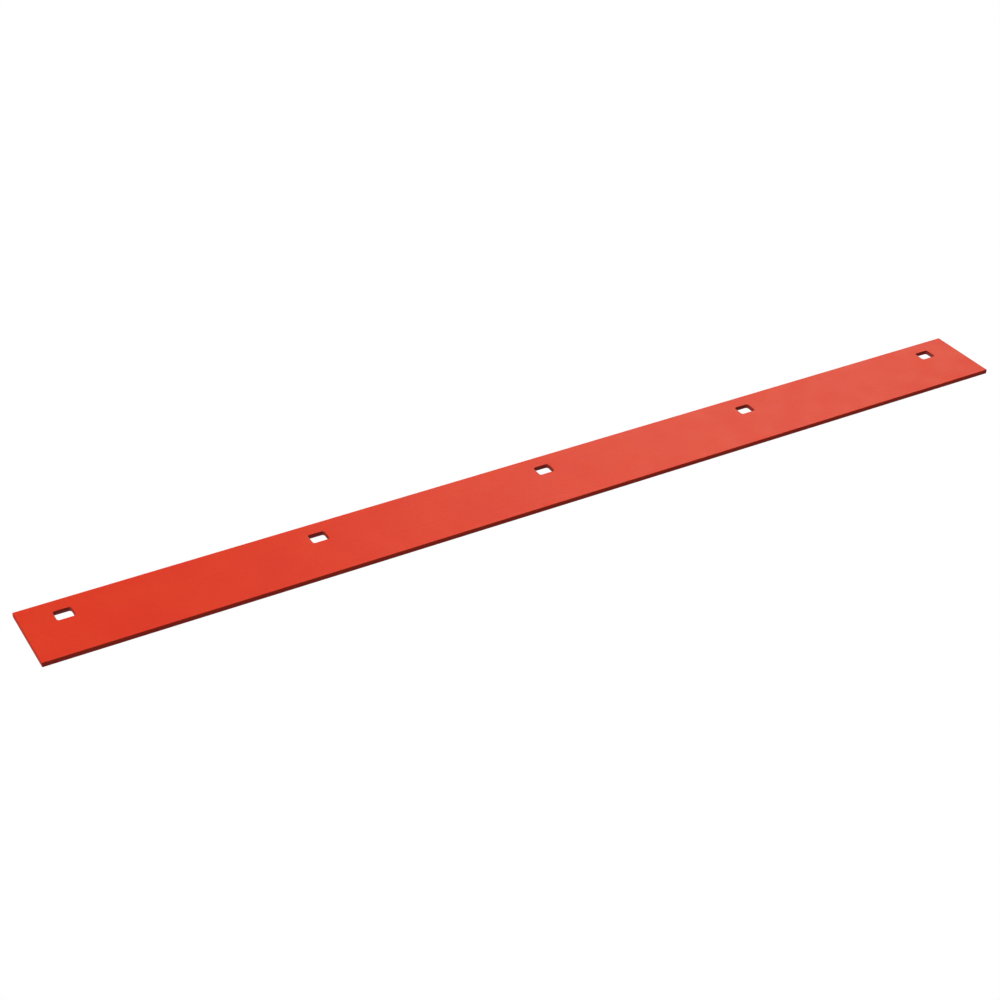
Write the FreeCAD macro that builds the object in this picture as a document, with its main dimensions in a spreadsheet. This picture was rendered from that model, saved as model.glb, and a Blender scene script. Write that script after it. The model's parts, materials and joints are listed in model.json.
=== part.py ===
"""Replacement cutting edge for an ATV snow plow blade: one flat steel bar with punched mounting slots.

The bar lies flat. X runs along its length, Y across it towards the edge that the slots are near, and Z up
through its thickness. The origin is the centre of the underside, which is the face that bolts to the blade.
"""

import FreeCAD, Part
import Sketcher
import math
import os

NODE_NAME = "cutting_edge_bar"
OUT_FOLDER = "parts"
START, END, CENTRE = 1, 2, 3
ORIGIN_POINT = (-1, 1)
NEAR = 1e-4
LEAST_CUT = 1e-3

# Alias, value and note. Millimetres, except for the count and the angle.
DRIVING_SIZES = [
    ("bar_length", 1371.6, "54 in, the blade's width"),
    ("bar_width", 101.6, "4 in flat bar"),
    ("bar_thickness", 6.35, "1/4 in flat bar"),
    ("mill_radius", 0.9, "rolled corners along the bar"),
    ("shear_roll", 0.5, "rounding round a sheared and painted end"),
    ("slot_count", 5, "slots in one line"),
    ("slot_pitch", 317.5, "12 1/2 in between slot centres"),
    ("slot_edge_distance", 28.6, "1 1/8 in from slot centre line to the nearer long edge"),
    ("slot_length", 21.4, "along the bar"),
    ("slot_width", 17.5, "11/16 in across the bar"),
    ("slot_corner", 2.8, "corner radius of the punch"),
    ("punch_roll", 0.5, "drawn-in rim on the punch side"),
    ("break_depth", 4.2, "height of the fractured part of a slot's wall"),
    ("break_angle", 6.0, "degrees that the fractured wall leans out"),
    ("rim_break", 0.2, "dressed rim on the die side"),
]


def make_sheet(doc):
    """The spreadsheet of driving sizes, one alias to a row."""
    sheet = doc.addObject("Spreadsheet::Sheet", "Sizes")
    for row, (alias, value, note) in enumerate(DRIVING_SIZES, start=1):
        sheet.set(f"A{row}", alias)
        sheet.set(f"B{row}", str(value))
        sheet.set(f"C{row}", note)
        sheet.setAlias(f"B{row}", alias)
    doc.recompute()
    return sheet


def origin_feature(body, role):
    """One of the body's own origin planes or axes."""
    return next(f for f in body.Origin.OriginFeatures if f.Role == role)


def new_sketch(body, name):
    """An empty sketch on the body's XY plane, which is the bar's underside."""
    sketch = body.newObject("Sketcher::SketchObject", name)
    sketch.AttachmentSupport = [(origin_feature(body, "XY_Plane"), "")]
    sketch.MapMode = "FlatFace"
    return sketch


def drive(sketch, constraint, name, expression):
    """Adds a dimension, names it and binds it to the spreadsheet."""
    index = sketch.addConstraint(constraint)
    sketch.renameConstraint(index, name)
    sketch.setExpression(f"Constraints.{name}", expression)


def corner_loop(sketch, x0, y0, x1, y1):
    """The lower, right, upper and left sides of a rectangle, joined at their ends and square to the axes."""
    corners = [FreeCAD.Vector(*p, 0) for p in ((x0, y0), (x1, y0), (x1, y1), (x0, y1))]
    lines = [
        sketch.addGeometry(Part.LineSegment(corners[i], corners[(i + 1) % 4]), False)
        for i in range(4)
    ]
    for i, line in enumerate(lines):
        sketch.addConstraint(Sketcher.Constraint("Coincident", line, END, lines[(i + 1) % 4], START))
        sketch.addConstraint(Sketcher.Constraint(("Horizontal", "Vertical")[i % 2], line))
    return lines


def bar_outline(body, sizes):
    """The bar's plan outline, centred on the origin."""
    sketch = new_sketch(body, "BarOutline")
    half_length, half_width = sizes.bar_length / 2, sizes.bar_width / 2
    lower, right, upper = corner_loop(sketch, -half_length, -half_width, half_length, half_width)[:3]
    sketch.addConstraint(Sketcher.Constraint("Symmetric", lower, START, upper, START, *ORIGIN_POINT))
    drive(
        sketch,
        Sketcher.Constraint("DistanceX", lower, START, lower, END, sizes.bar_length),
        "length",
        "Sizes.bar_length",
    )
    drive(
        sketch,
        Sketcher.Constraint("DistanceY", right, START, right, END, sizes.bar_width),
        "width",
        "Sizes.bar_width",
    )
    return sketch


def slot_outline(body, sizes, name, growth):
    """The first slot's outline, a rectangle with round corners, grown on every side by an expression."""
    sketch = new_sketch(body, name)
    centre_x = -(sizes.slot_count - 1) / 2 * sizes.slot_pitch
    centre_y = sizes.bar_width / 2 - sizes.slot_edge_distance
    radius = sizes.slot_corner
    half_x, half_y = sizes.slot_length / 2 - radius, sizes.slot_width / 2 - radius
    signs = ((1, -1), (1, 1), (-1, 1), (-1, -1))
    quarter = math.pi / 2
    centres = [FreeCAD.Vector(centre_x + sx * half_x, centre_y + sy * half_y, 0) for sx, sy in signs]
    arcs = []
    for i, centre in enumerate(centres):
        circle = Part.Circle(centre, FreeCAD.Vector(0, 0, 1), radius)
        arcs.append(sketch.addGeometry(Part.ArcOfCircle(circle, (i - 1) * quarter, i * quarter), False))
    for i, arc in enumerate(arcs):
        following = arcs[(i + 1) % 4]
        ends = [sketch.getPoint(arc, END), sketch.getPoint(following, START)]
        line = sketch.addGeometry(Part.LineSegment(*ends), False)
        sketch.addConstraint(Sketcher.Constraint("Tangent", arc, END, line, START))
        sketch.addConstraint(Sketcher.Constraint("Tangent", line, END, following, START))
        sketch.addConstraint(Sketcher.Constraint(("Vertical", "Horizontal")[i % 2], line))
        if i:
            sketch.addConstraint(Sketcher.Constraint("Equal", arcs[0], arc))
    middle = sketch.addGeometry(Part.Point(FreeCAD.Vector(centre_x, centre_y, 0)), True)
    sketch.addConstraint(Sketcher.Constraint("Symmetric", arcs[0], CENTRE, arcs[2], CENTRE, middle, START))
    drive(
        sketch,
        Sketcher.Constraint("DistanceX", middle, START, *ORIGIN_POINT, -centre_x),
        "from_middle",
        "(Sizes.slot_count - 1) / 2 * Sizes.slot_pitch",
    )
    drive(
        sketch,
        Sketcher.Constraint("DistanceY", *ORIGIN_POINT, middle, START, centre_y),
        "from_axis",
        "Sizes.bar_width / 2 - Sizes.slot_edge_distance",
    )
    drive(
        sketch,
        Sketcher.Constraint("DistanceX", arcs[3], CENTRE, arcs[0], CENTRE, 2 * half_x),
        "centres_along",
        "Sizes.slot_length - 2 * Sizes.slot_corner",
    )
    drive(
        sketch,
        Sketcher.Constraint("DistanceY", arcs[0], CENTRE, arcs[1], CENTRE, 2 * half_y),
        "centres_across",
        "Sizes.slot_width - 2 * Sizes.slot_corner",
    )
    drive(
        sketch,
        Sketcher.Constraint("Radius", arcs[0], radius),
        "corner",
        f"Sizes.slot_corner + {growth}",
    )
    return sketch


def cut(body, sketch, name, before):
    """A pocket from the underside up through the bar. Stops if it takes nothing away."""
    pocket = body.newObject("PartDesign::Pocket", name)
    pocket.Profile = sketch
    pocket.Reversed = True
    pocket.Type = "ThroughAll"
    body.Document.recompute()
    must_shrink(pocket, before)
    return pocket


def must_shrink(feature, before):
    """Stops the build if a subtractive feature has taken nothing away."""
    if not feature.Shape.Volume < before.Shape.Volume - LEAST_CUT:
        raise SystemExit(f"{feature.Name} cuts nothing")


def edge_names(feature, wanted):
    """Names of the feature's edges whose bounding box passes the test."""
    names = [f"Edge{i}" for i, e in enumerate(feature.Shape.Edges, start=1) if wanted(e.BoundBox)]
    if not names:
        raise SystemExit(f"{feature.Name} has none of the edges that were asked for")
    return names


def dress(body, kind, name, base, wanted, size_property, alias):
    """A fillet or chamfer on some edges of the base feature, sized from the spreadsheet."""
    feature = body.newObject(f"PartDesign::{kind}", name)
    feature.Base = (base, edge_names(base, wanted))
    feature.setExpression(size_property, f"Sizes.{alias}")
    body.Document.recompute()
    must_shrink(feature, base)
    return feature


def make_bar(doc, sizes):
    """The bar: padded flat, its corners rolled, its ends sheared, then the slots punched and dressed."""
    body = doc.addObject("PartDesign::Body", "CuttingEdgeBar")
    body.Label = NODE_NAME
    half_length, half_width = sizes.bar_length / 2, sizes.bar_width / 2

    pad = body.newObject("PartDesign::Pad", "FlatBar")
    pad.Profile = bar_outline(body, sizes)
    pad.setExpression("Length", "Sizes.bar_thickness")
    doc.recompute()

    def along_the_bar(box):
        return box.XLength > half_length

    def round_an_end(box):
        return box.XLength < NEAR and abs(abs(box.XMin) - half_length) < NEAR

    def slot_rim_at(height):
        def wanted(box):
            level = abs(box.ZMin - height) < NEAR and abs(box.ZMax - height) < NEAR
            within_length = abs(box.Center.x) < half_length - sizes.slot_length
            within_width = abs(box.Center.y) < half_width - sizes.slot_width
            return level and within_length and within_width

        return wanted

    corners = dress(body, "Fillet", "RolledCorners", pad, along_the_bar, "Radius", "mill_radius")
    ends = dress(body, "Fillet", "ShearedEnds", corners, round_an_end, "Radius", "shear_roll")

    slot = cut(body, slot_outline(body, sizes, "PunchOutline", "0"), "PunchedSlot", ends)
    growth = "Sizes.break_depth * tan(Sizes.break_angle * 1 deg)"
    breakout = cut(body, slot_outline(body, sizes, "BreakoutOutline", growth), "Breakout", slot)
    breakout.Type = "Length"
    breakout.setExpression("Length", "Sizes.break_depth")
    breakout.setExpression("TaperAngle", "-Sizes.break_angle")
    doc.recompute()
    must_shrink(breakout, slot)

    row = body.newObject("PartDesign::LinearPattern", "SlotRow")
    row.Originals = [slot, breakout]
    row.Direction = (origin_feature(body, "X_Axis"), [""])
    body.Tip = row
    row.setExpression("Length", "(Sizes.slot_count - 1) * Sizes.slot_pitch")
    row.setExpression("Occurrences", "Sizes.slot_count")
    doc.recompute()
    must_shrink(row, breakout)

    rolls = dress(body, "Fillet", "PunchRolls", row, slot_rim_at(sizes.bar_thickness), "Radius", "punch_roll")
    body.Tip = dress(body, "Chamfer", "RimBreaks", rolls, slot_rim_at(0), "Size", "rim_break")
    doc.recompute()
    return body


def check(doc):
    """Stops the build if any object failed, or any shape is missing or not valid."""
    for item in doc.Objects:
        if {"Invalid", "Error"} & set(item.State):
            raise SystemExit(f"{item.Name} is {item.State}")
        if hasattr(item, "Shape") and item.isDerivedFrom("PartDesign::Feature"):
            if item.Shape.isNull() or not item.Shape.isValid():
                raise SystemExit(f"{item.Name} has no valid shape")


def main():
    doc = FreeCAD.newDocument("CuttingEdge")
    sizes = make_sheet(doc)
    bar = make_bar(doc, sizes)
    check(doc)
    os.makedirs(OUT_FOLDER, exist_ok=True)
    bar.Shape.exportStep(f"{OUT_FOLDER}/{bar.Label}.step")
    box = bar.Shape.BoundBox
    size = f"{box.XLength:.2f} x {box.YLength:.2f} x {box.ZLength:.2f} mm"
    print(f"{bar.Label}: {size}, {bar.Shape.Volume:.0f} mm3, {len(bar.Shape.Faces)} faces")


main()
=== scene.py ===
import json
import math

import bpy
from mathutils import Matrix, Vector, noise


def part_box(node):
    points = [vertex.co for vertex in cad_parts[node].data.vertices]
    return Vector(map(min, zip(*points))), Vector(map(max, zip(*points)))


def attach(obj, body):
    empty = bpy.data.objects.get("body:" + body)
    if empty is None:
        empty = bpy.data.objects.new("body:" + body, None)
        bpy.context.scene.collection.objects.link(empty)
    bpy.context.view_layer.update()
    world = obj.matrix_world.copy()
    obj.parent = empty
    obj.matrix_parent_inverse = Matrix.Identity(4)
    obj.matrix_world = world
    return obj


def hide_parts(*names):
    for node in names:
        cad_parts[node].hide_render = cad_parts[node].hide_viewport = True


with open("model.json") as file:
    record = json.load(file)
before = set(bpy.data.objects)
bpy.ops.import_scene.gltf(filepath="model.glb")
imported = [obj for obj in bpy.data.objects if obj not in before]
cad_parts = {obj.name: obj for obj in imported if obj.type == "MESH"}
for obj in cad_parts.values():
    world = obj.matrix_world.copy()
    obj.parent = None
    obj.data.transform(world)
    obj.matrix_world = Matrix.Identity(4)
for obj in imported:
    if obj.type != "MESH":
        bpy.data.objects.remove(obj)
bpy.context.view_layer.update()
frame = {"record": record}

MM = 0.001
NODE = "cutting_edge_bar"
LOW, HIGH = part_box(NODE)
SLOT_ROW = next(m for m in frame["record"]["mounts"] if m["name"] == "slot_row")
SLOT_COUNT = SLOT_ROW["dims"]["count"]
SLOT_PITCH = SLOT_ROW["dims"]["spacing_x_mm"] * MM
SLOT_LENGTH = SLOT_ROW["dims"]["slot_length_mm"] * MM
SLOT_WIDTH = 2 * SLOT_ROW["dims"]["hole_r_mm"] * MM
SLOT_LINE = SLOT_ROW["pos_m"][1]
SLOT_CORNER = 2.8 * MM

# The bar's edges: rolled along its length, sheared across its ends. The shear leaves an end upright for
# the first part of its height, and leaning in below that.
MILL_ROLL = 0.9 * MM
SHEAR_ROLL = 0.5 * MM
SHEAR_SLOPE = 0.12 * MM
UPRIGHT_SHARE = 0.3
CORNER_ROUND = 0.5 * MM
EDGE_SUPPORT = 1.0 * MM
EDGE_STEPS = 6
WALL_STEPS = 6
CORNER_STEPS = 4

# The slots' walls: drawn in by the punch, then smooth, then torn open towards the underside. The punch also
# leaves a shallow dish in the top face round each slot.
PUNCH_ROLL = 0.5 * MM
TEAR_HEIGHT = 4.2 * MM
TEAR_SLOPE = math.tan(math.radians(6))
TEAR_ROUGHNESS = 0.05 * MM
TEAR_GRAIN = 1.7 * MM
TEAR_BLEND = 0.2 * MM
RIM_BREAK = 0.2 * MM
DISH_DEPTH = 0.13 * MM
DISH_REACH = 9 * MM

# How finely the flat faces are divided. Each slot has a rectangular cell, with steps along the slot's short
# and long sides, and rings at shares of the dish's reach and of the way from there to the cell's outline.
HALF_ARC_STEPS = 4
SLOT_STEPS = (6, 8)
CELL_SHARES = (1.0, 0.5)
DISH_SHARES = (1.0, 0.6, 0.35, 0.18)
CELL_MARGIN = 13 * MM
STRIP_STEP = 8 * MM
GRID_DECIMALS = 5
WELD = 0.001 * MM

# The rolled plate's slight waviness, which differs between the two faces.
WAVE_HEIGHT = 0.09 * MM
WAVES_PER_METRE = (9, 16)
UNDERSIDE_WAVES = Vector((0, 0, 7))


def direction(angle):
    """The unit vector at an angle from +X, in the bar's plane."""
    return Vector((math.cos(angle), math.sin(angle)))


class Skin:
    """Faces over shared vertices, whose looks say how far each is on a rim, on a cut wall and in a slot, the
    last for painted shade there.
    """

    def __init__(self):
        self.index = {}
        self.points = []
        # The third look is painted shade for the shadow inside a slot, from none to full.
        self.looks = {"rim": [], "cut": [], "deep": []}
        self.faces = []

    def vertex(self, x, y, z, **looks):
        key = tuple(round(value / WELD) for value in (x, y, z))
        if key not in self.index:
            self.index[key] = len(self.points)
            self.points.append((x, y, z))
            for name, values in self.looks.items():
                values.append(looks.get(name, 0.0))
        return self.index[key]

    def band(self, first, second, closed=True):
        """Quads between two lines of vertices, facing (second - first) x (next - this)."""
        count = len(first)
        for i in range(count if closed else count - 1):
            j = (i + 1) % count
            corners = []
            for vertex in (first[i], second[i], second[j], first[j]):
                if vertex not in corners:
                    corners.append(vertex)
            if len(corners) > 2:
                self.faces.append(corners)


def slot_ring(centre, offset):
    """Points round a slot, counter-clockwise, at a distance out from its wall."""
    reach = Vector((SLOT_LENGTH, SLOT_WIDTH)) / 2 - Vector((SLOT_CORNER, SLOT_CORNER))
    signs = ((1, -1), (1, 1), (-1, 1), (-1, -1))
    pivots = [centre + Vector((reach.x * sx, reach.y * sy)) for sx, sy in signs]
    radius = SLOT_CORNER + offset
    eighth = math.pi / 4
    points = []
    for corner in range(4):
        here, there = pivots[corner], pivots[(corner + 1) % 4]
        middle = (2 * corner - 1) * eighth
        outward = middle + eighth
        steps = SLOT_STEPS[corner % 2]
        for i in range(HALF_ARC_STEPS):
            points.append(here + radius * direction(middle + eighth * i / HALF_ARC_STEPS))
        for i in range(steps):
            points.append(here.lerp(there, i / steps) + radius * direction(outward))
        for i in range(HALF_ARC_STEPS):
            points.append(there + radius * direction(outward + eighth * i / HALF_ARC_STEPS))
    return points


def divide(low, high, count):
    """Evenly spaced positions from low to high, on a fine grid so that neighbours always weld."""
    return [round(low + (high - low) * i / count, GRID_DECIMALS) for i in range(count + 1)]


def three_spans(low, inner_low, inner_high, high, inner_steps):
    """Positions from low to high, with the slot's own steps in the middle and an arc's steps each side."""
    before = divide(low, inner_low, HALF_ARC_STEPS)
    beside = divide(inner_low, inner_high, inner_steps)
    return before[:-1] + beside[:-1] + divide(inner_high, high, HALF_ARC_STEPS)


class Plan:
    """The bar seen from above: the rows and columns of its flat faces, inside its rounded edges."""

    def __init__(self):
        self.x0, self.x1 = LOW.x + SHEAR_ROLL + EDGE_SUPPORT, HIGH.x - SHEAR_ROLL - EDGE_SUPPORT
        self.y0, self.y1 = LOW.y + MILL_ROLL + EDGE_SUPPORT, HIGH.y - MILL_ROLL - EDGE_SUPPORT
        middle = (LOW.x + HIGH.x) / 2
        first = middle - (SLOT_COUNT - 1) / 2 * SLOT_PITCH
        self.centres = [Vector((first + i * SLOT_PITCH, SLOT_LINE)) for i in range(SLOT_COUNT)]
        inner_y = SLOT_WIDTH / 2 - SLOT_CORNER
        self.rows = three_spans(
            self.y0, SLOT_LINE - inner_y, SLOT_LINE + inner_y, self.y1, SLOT_STEPS[0]
        )
        self.half_cell = SLOT_LENGTH / 2 + CELL_MARGIN
        edges = [self.x0]
        for centre in self.centres:
            edges += [centre.x - self.half_cell, centre.x + self.half_cell]
        edges.append(self.x1)
        spans = zip(edges[::2], edges[1::2])
        self.strips = [divide(a, b, max(1, round((b - a) / STRIP_STEP))) for a, b in spans]

    def cell_columns(self, centre):
        inner_x = SLOT_LENGTH / 2 - SLOT_CORNER
        left, right = centre.x - self.half_cell, centre.x + self.half_cell
        return three_spans(left, centre.x - inner_x, centre.x + inner_x, right, SLOT_STEPS[1])

    def cell_ring(self, centre):
        """The cell's outline, point for point beside the slot's own ring."""
        columns = self.cell_columns(centre)
        right = [Vector((columns[-1], y)) for y in self.rows[:-1]]
        rear = [Vector((x, self.y1)) for x in columns[:0:-1]]
        left = [Vector((columns[0], y)) for y in self.rows[:0:-1]]
        front = [Vector((x, self.y0)) for x in columns[:-1]]
        return right + rear + left + front

    def columns(self):
        """Every column from one end to the other, once."""
        cells = [self.cell_columns(centre) for centre in self.centres]
        return sorted(set().union(*self.strips, *cells))


def dish(offset):
    """How far the punch has drawn the top face down, at a distance from a slot's wall."""
    return DISH_DEPTH * max(0.0, 1 - offset / DISH_REACH) ** 2


def add_slot(skin, plan, centre):
    """A slot's cell on the top face, its wall, and its cell on the underside."""
    top, bottom = HIGH.z, LOW.z
    outline = plan.cell_ring(centre)
    far_ring = slot_ring(centre, DISH_REACH)
    rings = []

    def ring_at(points, z, **looks):
        rings.append([skin.vertex(p.x, p.y, z, **looks) for p in points])

    for share in CELL_SHARES:
        ring_at([a.lerp(b, share) for a, b in zip(far_ring, outline)], top)
    for share in DISH_SHARES:
        ring_at(slot_ring(centre, share * DISH_REACH), top - dish(share * DISH_REACH))
    # Painted shade for the slot's shadow: none at the top of the punch's roll, rising round it, and full all
    # down the wall.
    for step in range(EDGE_STEPS + 1):
        turn = math.pi / 2 * step / EDGE_STEPS
        offset = PUNCH_ROLL * (1 - math.sin(turn))
        z = top - dish(PUNCH_ROLL) - PUNCH_ROLL * (1 - math.cos(turn))
        ring_at(slot_ring(centre, offset), z, rim=math.sin(turn * 2), deep=1 - math.cos(turn))
    ring_at(slot_ring(centre, 0), bottom + TEAR_HEIGHT + TEAR_BLEND, deep=1.0)
    for step in range(WALL_STEPS + 1):
        share = step / WALL_STEPS
        z = bottom + TEAR_HEIGHT + (RIM_BREAK - TEAR_HEIGHT) * share
        torn = math.sin(math.pi * share)
        points = []
        for point in slot_ring(centre, (bottom + TEAR_HEIGHT - z) * TEAR_SLOPE):
            bump = noise.noise(Vector((point.x, point.y, z)) / TEAR_GRAIN) * TEAR_ROUGHNESS * torn
            points.append(point + (point - centre).normalized() * bump)
        ring_at(points, z, cut=1.0, deep=1.0)
    opening = (TEAR_HEIGHT - RIM_BREAK) * TEAR_SLOPE
    for offset in (RIM_BREAK, RIM_BREAK + EDGE_SUPPORT):
        ring_at(slot_ring(centre, opening + offset), bottom)
    ring_at(far_ring, bottom)
    for share in reversed(CELL_SHARES):
        ring_at([a.lerp(b, share) for a, b in zip(far_ring, outline)], bottom)
    for outer, inner in zip(rings, rings[1:]):
        skin.band(inner, outer)


def add_strips(skin, plan):
    """The plain stretches between the slots, on the top face and the underside."""
    for columns in plan.strips:
        for z, step in ((HIGH.z, 1), (LOW.z, -1)):
            lines = [[skin.vertex(x, y, z) for y in plan.rows] for x in columns[::step]]
            for line, following in zip(lines, lines[1:]):
                skin.band(line, following, closed=False)


def edge_profile(roll, slope):
    """(reach out from the plan, height, rim, cut) from the top face round to the underside."""
    top, bottom = HIGH.z, LOW.z
    outline = EDGE_SUPPORT + roll
    rows = [(0.0, top, 0.0, 0.0)]
    for step in range(EDGE_STEPS + 1):
        turn = math.pi / 2 * step / EDGE_STEPS
        reach = EDGE_SUPPORT + roll * math.sin(turn)
        rows.append((reach, top - roll * (1 - math.cos(turn)), math.sin(2 * turn), 0.0))
    for step in range(1, WALL_STEPS):
        share = step / WALL_STEPS
        height = (top - roll) + (bottom - top + 2 * roll) * share
        lean = slope * max(0.0, share - UPRIGHT_SHARE)
        rows.append((outline - lean, height, 0.0, 1.0 if slope else 0.0))
    for step in range(EDGE_STEPS + 1):
        turn = math.pi / 2 * (1 - step / EDGE_STEPS)
        reach = EDGE_SUPPORT + (roll - slope * (1 - UPRIGHT_SHARE)) * math.sin(turn)
        rows.append((reach, bottom + roll * (1 - math.cos(turn)), math.sin(2 * turn), 0.0))
    rows.append((0.0, bottom, 0.0, 0.0))
    return rows


def perimeter(plan):
    """(x, y, end's sign, side's sign, share of the end) round the bar, counter-clockwise."""
    columns, rows = plan.columns()[1:-1], plan.rows[1:-1]
    turns = [i / CORNER_STEPS for i in range(CORNER_STEPS + 1)]
    path = [(x, plan.y0, 0, -1, 0.0) for x in columns]
    path += [(plan.x1, plan.y0, 1, -1, turn) for turn in turns]
    path += [(plan.x1, y, 1, 0, 1.0) for y in rows]
    path += [(plan.x1, plan.y1, 1, 1, turn) for turn in reversed(turns)]
    path += [(x, plan.y1, 0, 1, 0.0) for x in reversed(columns)]
    path += [(plan.x0, plan.y1, -1, 1, turn) for turn in turns]
    path += [(plan.x0, y, -1, 0, 1.0) for y in reversed(rows)]
    path += [(plan.x0, plan.y0, -1, -1, turn) for turn in reversed(turns)]
    return path


def add_edges(skin, plan):
    """The rolled long edges and the sheared ends, joined round each corner."""
    path = perimeter(plan)
    rings = []
    for side, end in zip(edge_profile(MILL_ROLL, 0.0), edge_profile(SHEAR_ROLL, SHEAR_SLOPE)):
        ring = []
        for x, y, end_sign, side_sign, share in path:
            corner = min(CORNER_ROUND, side[0], end[0]) if end_sign and side_sign else 0.0
            turn = math.pi / 2 * share
            out_x = end_sign * (end[0] - corner + corner * math.sin(turn))
            out_y = side_sign * (side[0] - corner + corner * math.cos(turn))
            height, rim, cut = (a + (b - a) * share for a, b in zip(side[1:], end[1:]))
            ring.append(skin.vertex(x + out_x, y + out_y, height, rim=rim, cut=cut))
        rings.append(ring)
    for upper, lower in zip(rings, rings[1:]):
        skin.band(upper, lower)


def wave(place):
    """How far a face has settled, from nothing to the wave height, at a place in the noise."""
    return WAVE_HEIGHT * (1 + noise.noise(place)) / 2


def settle(point):
    """Moves a point as the rolled plate's slight waviness does, never out of the bar's box."""
    x, y, z = point
    share = (z - LOW.z) / (HIGH.z - LOW.z)
    across = Vector((x * WAVES_PER_METRE[0], y * WAVES_PER_METRE[1], 0))
    over, under = wave(across), wave(across + UNDERSIDE_WAVES)
    return x, y, z - over * share + under * (1 - share)


def make_bar():
    """The bar's visible mesh, with its rim and cut values and its painted slot shade as attributes."""
    skin, plan = Skin(), Plan()
    for centre in plan.centres:
        add_slot(skin, plan, centre)
    add_strips(skin, plan)
    add_edges(skin, plan)
    mesh = bpy.data.meshes.new("painted_bar")
    mesh.from_pydata([settle(p) for p in skin.points], [], skin.faces)
    for name, values in skin.looks.items():
        mesh.attributes.new(name, "FLOAT", "POINT").data.foreach_set("value", values)
    mesh.shade_smooth()
    bar = bpy.data.objects.new("painted_bar", mesh)
    bpy.context.collection.objects.link(bar)
    bar.modifiers.new("face_normals", "WEIGHTED_NORMAL")
    return bar


class Nodes:
    """A short way to add and join a material's nodes."""

    def __init__(self, tree):
        self.tree = tree
        tree.nodes.clear()

    def fill(self, socket, value):
        """Joins a node's output to a socket, or sets the socket to a plain value."""
        if isinstance(value, bpy.types.NodeSocket):
            self.tree.links.new(value, socket)
        else:
            socket.default_value = value

    def add(self, kind, inputs=None, **settings):
        node = self.tree.nodes.new(kind)
        for name, value in settings.items():
            setattr(node, name, value)
        for name, value in (inputs or {}).items():
            self.fill(node.inputs[name], value)
        return node

    def mapped(self, value, source, target):
        """The value taken from one range to another, and held to the second."""
        ends = {"From Min": source[0], "From Max": source[1], "To Min": target[0], "To Max": target[1]}
        return self.add("ShaderNodeMapRange", {"Value": value, **ends}).outputs["Result"]

    def maths(self, operation, first, second):
        return self.add("ShaderNodeMath", {0: first, 1: second}, operation=operation).outputs[0]

    def blend(self, share, first, second):
        """A colour between two, by share. The node repeats its sockets' names, so they go by number."""
        inputs = {0: share, 6: first, 7: second}
        return self.add("ShaderNodeMix", inputs, data_type="RGBA").outputs[2]

    def stretched(self, vector, scale):
        return self.add("ShaderNodeMapping", {"Vector": vector, "Scale": scale}).outputs["Vector"]

    def attribute(self, name):
        return self.add("ShaderNodeAttribute", attribute_name=name).outputs["Fac"]

    def noise(self, vector, scale, detail=2.0, roughness=0.5):
        inputs = {"Vector": vector, "Scale": scale, "Detail": detail, "Roughness": roughness}
        return self.add("ShaderNodeTexNoise", inputs).outputs["Fac"]


PAINT = (0.80, 0.031, 0.006, 1)
PAINT_WARM = (0.82, 0.039, 0.006, 1)
PAINT_DEEP = (0.75, 0.024, 0.006, 1)
PAINT_THIN = (0.42, 0.020, 0.010, 1)
# Painted shade for the shadow on the slots' walls: a low red put inside the slots.
PAINTED_SLOT_SHADE = (0.28, 0.012, 0.012, 1)
PAINT_ROUGHNESS = (0.285, 0.36)
CUT_ROUGHNESS = (0.0, 0.16)

# How many times each pattern repeats in a metre.
CLOUDS = 14
GLOSS_PATCHES = 30
DUST = 110
MOTTLE = 160
PEEL = 420
CUT_GRAIN = 1300
FINE = 1900
STREAKS = (6, 120, 120)
CUT_STRETCH = (1, 1, 0.35)

# The part of a pattern's values that is used, and the share of a colour that it brings in.
UNIT = (0.0, 1.0)
NOISE_RANGE = (0.3, 0.7)
CLOUD_RANGE = (0.35, 0.65)
MOTTLE_RANGE = (0.5, 0.8)
MOTTLE_SHARE = (0.0, 0.5)
RIM_SHARE = (0.25, 0.85)
CUT_SHARE = (0.0, 0.35)
# The share of painted shade on the slots' walls, taken from the mottle.
SLOT_SHADE_SHARE = (0.5, 0.8)

# How high each pattern stands, in millimetres. A nib reaches over part of its cell, and few cells have one.
PEEL_HEIGHT = 0.18
FINE_HEIGHT = 0.012
STREAK_HEIGHT = 0.16
NIB_HEIGHT = 0.012
GRAIN_HEIGHT = 0.16
NIB_REACH = 0.055
NIB_CHOICE = (0.93, 0.94)


def paint_colour(nodes, place, cut):
    """Slightly clouded and mottled, thin and a duller red on the rims, and most shaded on the slots' walls,
    where the shade is painted.
    """
    clouds = nodes.noise(place, CLOUDS, detail=3)
    mottle = nodes.noise(place, MOTTLE, detail=4, roughness=0.6)
    thin = nodes.maths("MULTIPLY", nodes.attribute("rim"), nodes.mapped(mottle, NOISE_RANGE, RIM_SHARE))
    # Painted shade inside the slots, full on the walls, varied by the mottle.
    painted_shade_share = nodes.maths("MULTIPLY", nodes.attribute("deep"), nodes.mapped(mottle, NOISE_RANGE, SLOT_SHADE_SHARE))
    colour = nodes.blend(nodes.mapped(clouds, CLOUD_RANGE, UNIT), PAINT, PAINT_WARM)
    colour = nodes.blend(nodes.mapped(mottle, MOTTLE_RANGE, MOTTLE_SHARE), colour, PAINT_DEEP)
    colour = nodes.blend(thin, colour, PAINT_THIN)
    colour = nodes.blend(nodes.mapped(cut, UNIT, CUT_SHARE), colour, PAINT_DEEP)
    # The painted slot shade goes on last, over every other colour.
    return nodes.blend(painted_shade_share, colour, PAINTED_SLOT_SHADE)


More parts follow.
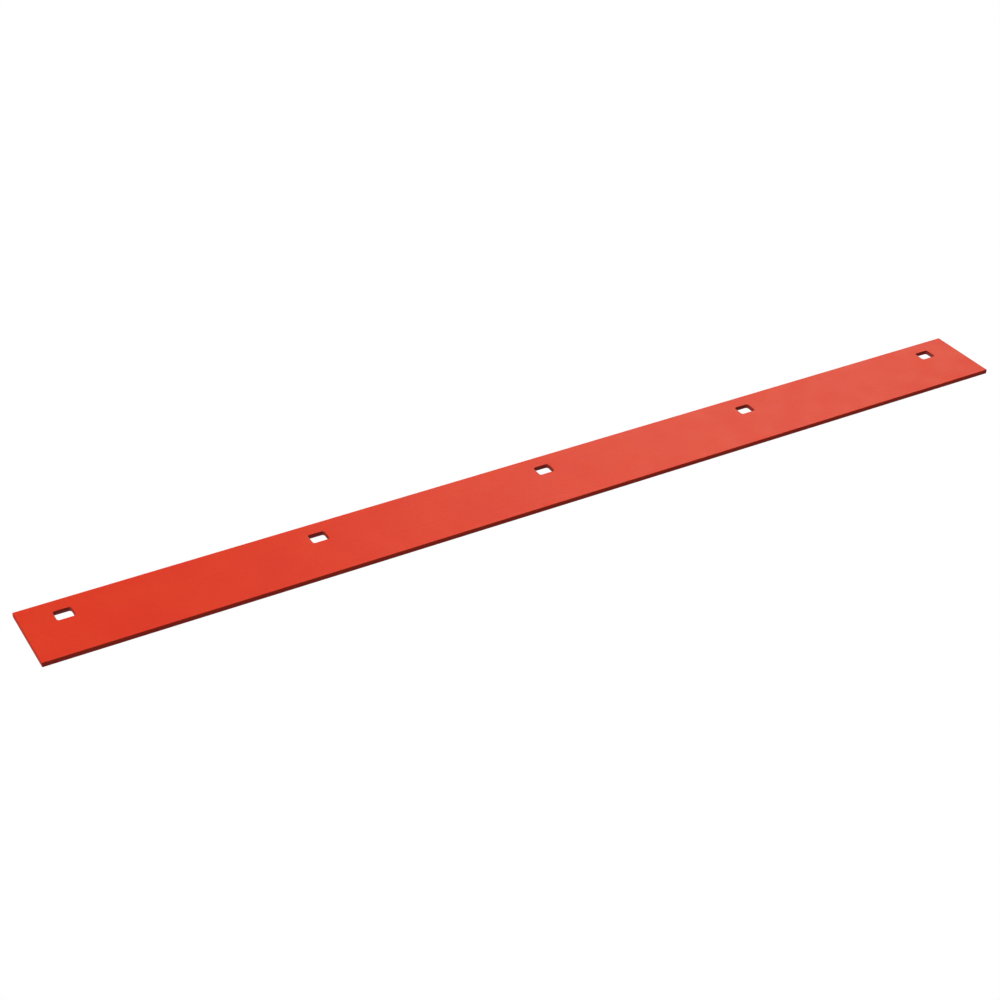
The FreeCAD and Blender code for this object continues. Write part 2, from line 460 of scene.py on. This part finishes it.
def dust_nibs(nodes, place):
    """Specks of dust under the paint, each at the middle of a cell."""
    cells = nodes.add("ShaderNodeTexVoronoi", {"Vector": place, "Scale": DUST})
    nib = nodes.mapped(cells.outputs["Distance"], (0.0, NIB_REACH), (1.0, 0.0))
    chance = nodes.add("ShaderNodeSeparateColor", {"Color": cells.outputs["Color"]}).outputs[0]
    return nodes.maths("MULTIPLY", nib, nodes.mapped(chance, NIB_CHOICE, UNIT))


def paint_bump(nodes, place, cut):
    """Orange peel and finer grain everywhere, rolling streaks along the bar, nibs, and coarse cut walls."""
    peel = nodes.noise(place, PEEL, detail=1.5)
    fine = nodes.noise(place, FINE, detail=2)
    streaks = nodes.noise(nodes.stretched(place, STREAKS), 1.0, detail=3)
    grain = nodes.noise(nodes.stretched(place, CUT_STRETCH), CUT_GRAIN, detail=3)
    height = nodes.maths("MULTIPLY", peel, PEEL_HEIGHT)
    for pattern, amount in (
        (fine, FINE_HEIGHT),
        (streaks, STREAK_HEIGHT),
        (dust_nibs(nodes, place), NIB_HEIGHT),
        (nodes.maths("MULTIPLY", grain, cut), GRAIN_HEIGHT),
    ):
        height = nodes.maths("ADD", height, nodes.maths("MULTIPLY", pattern, amount))
    return nodes.add("ShaderNodeBump", {"Strength": 1.0, "Distance": MM, "Height": height}).outputs["Normal"]


def red_paint():
    """Glossy red-orange paint over hot-rolled steel, rougher on the cut walls."""
    material = bpy.data.materials.new("painted_steel")
    material.use_nodes = True
    nodes = Nodes(material.node_tree)
    place = nodes.add("ShaderNodeTexCoord").outputs["Object"]
    cut = nodes.attribute("cut")
    gloss = nodes.mapped(nodes.noise(place, GLOSS_PATCHES, detail=4), NOISE_RANGE, PAINT_ROUGHNESS)
    roughness = nodes.maths("ADD", gloss, nodes.mapped(cut, UNIT, CUT_ROUGHNESS))
    surface = nodes.add(
        "ShaderNodeBsdfPrincipled",
        {
            "Base Color": paint_colour(nodes, place, cut),
            "Roughness": roughness,
            "Normal": paint_bump(nodes, place, cut),
            "IOR": 1.5,
        },
    )
    nodes.add("ShaderNodeOutputMaterial", {"Surface": surface.outputs[0]})
    return material


WHITE = (1, 1, 1, 1)
FLOOR_SIZE = 60.0
FLOOR_GAP = 0.02 * MM
KEY_STRENGTH = 2.68
KEY_SPREAD = math.radians(50)
KEY_AZIMUTH = math.radians(25)
KEY_ELEVATION = math.radians(62)
AMBIENT = 0.13
WARM_WHITE = (1, 0.97, 0.78, 1)

# Bright parts of the studio: azimuth, elevation, reach and softness in degrees, then strength and colour.
PANELS = {
    "glare_behind_the_right_end": (41, 31, 11.5, 5, 1.30, WARM_WHITE),
    "bounce_beyond_the_left_end": (-80, -20, 30, 10, 1.3, WHITE),
    "bounce_from_below": (0, -90, 20, 8, 2.0, WHITE),
}


def towards(azimuth, elevation):
    """The unit vector at an azimuth from +Y towards +X, and an elevation above the horizon."""
    level = math.cos(elevation)
    return Vector((math.sin(azimuth) * level, math.cos(azimuth) * level, math.sin(elevation)))


def make_floor():
    """A plain pale floor, bright enough to be white. Only the camera sees it, from above."""
    mesh = bpy.data.meshes.new("floor")
    reach = FLOOR_SIZE / 2
    corners = [(x * reach, y * reach, LOW.z - FLOOR_GAP) for x, y in ((-1, -1), (1, -1), (1, 1), (-1, 1))]
    mesh.from_pydata(corners, [], [(0, 1, 2, 3)])
    floor = bpy.data.objects.new("floor", mesh)
    bpy.context.collection.objects.link(floor)
    material = bpy.data.materials.new("floor_white")
    material.use_nodes = True
    material.cycles.emission_sampling = "NONE"
    nodes = Nodes(material.node_tree)
    white = nodes.add("ShaderNodeEmission", {"Color": WHITE, "Strength": 1.0}).outputs[0]
    clear = nodes.add("ShaderNodeBsdfTransparent").outputs[0]
    below = nodes.add("ShaderNodeNewGeometry").outputs["Backfacing"]
    shown = nodes.add("ShaderNodeMixShader", {0: below, 1: white, 2: clear}).outputs[0]
    nodes.add("ShaderNodeOutputMaterial", {"Surface": shown})
    mesh.materials.append(material)
    floor.visible_diffuse = False
    floor.visible_glossy = False
    floor.visible_transmission = False
    floor.visible_shadow = False


def make_light():
    """A broad key from above and behind, in a dim studio with a few bright parts."""
    key = bpy.data.lights.new("key", "SUN")
    key.energy = KEY_STRENGTH
    key.angle = KEY_SPREAD
    lamp = bpy.data.objects.new("key", key)
    lamp.rotation_mode = "QUATERNION"
    lamp.rotation_quaternion = towards(KEY_AZIMUTH, KEY_ELEVATION).to_track_quat("Z", "Y")
    lamp.visible_glossy = False
    bpy.context.collection.objects.link(lamp)

    world = bpy.data.worlds.new("studio")
    bpy.context.scene.world = world
    world.use_nodes = True
    nodes = Nodes(world.node_tree)
    facing = nodes.add("ShaderNodeTexCoord").outputs["Generated"]
    lit = nodes.add("ShaderNodeBackground", {"Color": WHITE, "Strength": AMBIENT}).outputs[0]
    for azimuth, elevation, reach, softness, brightness, colour in PANELS.values():
        centre = tuple(towards(math.radians(azimuth), math.radians(elevation)))
        nearness = nodes.add("ShaderNodeVectorMath", {0: facing, 1: centre}, operation="DOT_PRODUCT")
        outer, inner = (math.cos(math.radians(reach + side * softness)) for side in (1, -1))
        strength = nodes.mapped(nearness.outputs["Value"], (outer, inner), (0.0, brightness))
        panel = nodes.add("ShaderNodeBackground", {"Color": colour, "Strength": strength}).outputs[0]
        lit = nodes.add("ShaderNodeAddShader", {0: lit, 1: panel}).outputs[0]
    # Seen directly, the studio is plain white.
    seen = nodes.add("ShaderNodeBackground", {"Color": WHITE, "Strength": 1.0}).outputs[0]
    straight = nodes.add("ShaderNodeLightPath").outputs["Is Camera Ray"]
    mixed = nodes.add("ShaderNodeMixShader", {0: straight, 1: lit, 2: seen}).outputs[0]
    nodes.add("ShaderNodeOutputWorld", {"Surface": mixed})


SENSOR = 36.0
LENS = 66.85
CAMERA_AZIMUTH = math.radians(31.37)
CAMERA_ELEVATION = math.radians(34.44)
CAMERA_ROLL = math.radians(2.06)
CAMERA_DISTANCE = 1.684
AIM_ALONG = -0.0617
AIM_ACROSS = -0.115


def make_camera():
    """Looks down on the bar from beyond its left end, from the front."""
    size = HIGH - LOW
    middle = (LOW + HIGH) / 2
    aim = Vector((middle.x + AIM_ALONG * size.x, middle.y + AIM_ACROSS * size.y, HIGH.z))
    look = towards(CAMERA_AZIMUTH, -CAMERA_ELEVATION)
    data = bpy.data.cameras.new("camera")
    data.sensor_width = SENSOR
    data.lens = LENS
    camera = bpy.data.objects.new("camera", data)
    bpy.context.collection.objects.link(camera)
    camera.rotation_mode = "QUATERNION"
    camera.location = aim - look * CAMERA_DISTANCE * size.x
    roll = Matrix.Rotation(CAMERA_ROLL, 3, "Z").to_quaternion()
    camera.rotation_quaternion = look.to_track_quat("-Z", "Y") @ roll
    bpy.context.scene.camera = camera


bar = make_bar()
bar.data.materials.append(red_paint())
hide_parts(NODE)
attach(bar, "root")
make_floor()
make_light()
make_camera()
bpy.context.scene.view_settings.view_transform = "Standard"
